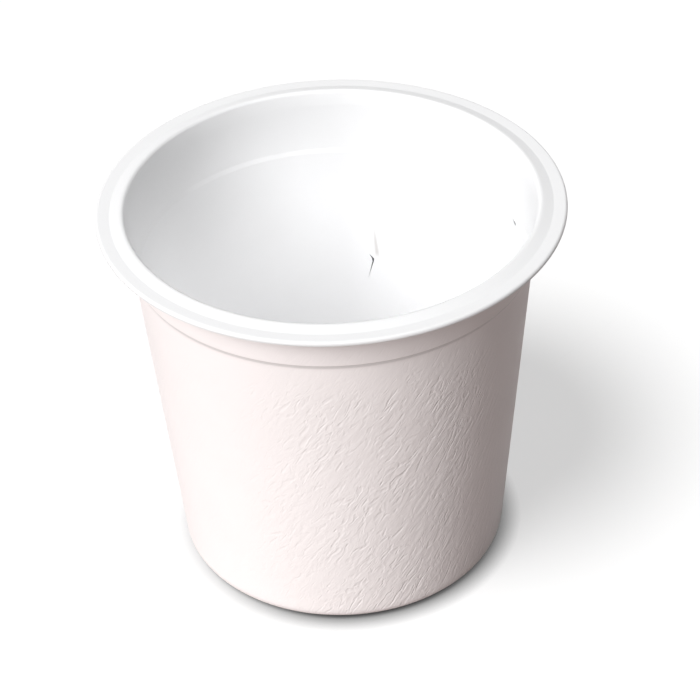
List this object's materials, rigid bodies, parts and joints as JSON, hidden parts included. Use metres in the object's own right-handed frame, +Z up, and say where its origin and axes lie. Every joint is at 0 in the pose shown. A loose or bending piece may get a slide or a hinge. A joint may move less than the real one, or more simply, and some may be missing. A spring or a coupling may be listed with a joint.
{
  "type": "bagasse cup",
  "caption": "Round tapered drinking cup moulded from plant fibre, with a thin turned-out lip, a narrow collar under it and a raised base.",
  "frame": {"origin": "middle of the foot, on the surface that the cup stands on", "axes": "+Z up along the cup's own axis"},
  "size_m": [0.08, 0.08, 0.07],
  "materials": {
    "moulded_fibre": "matte to satin, smooth inside, finely wrinkled outside"
  },
  "bodies": {
    "root": {"cup": "moulded_fibre"}
  },
  "joints": []
}
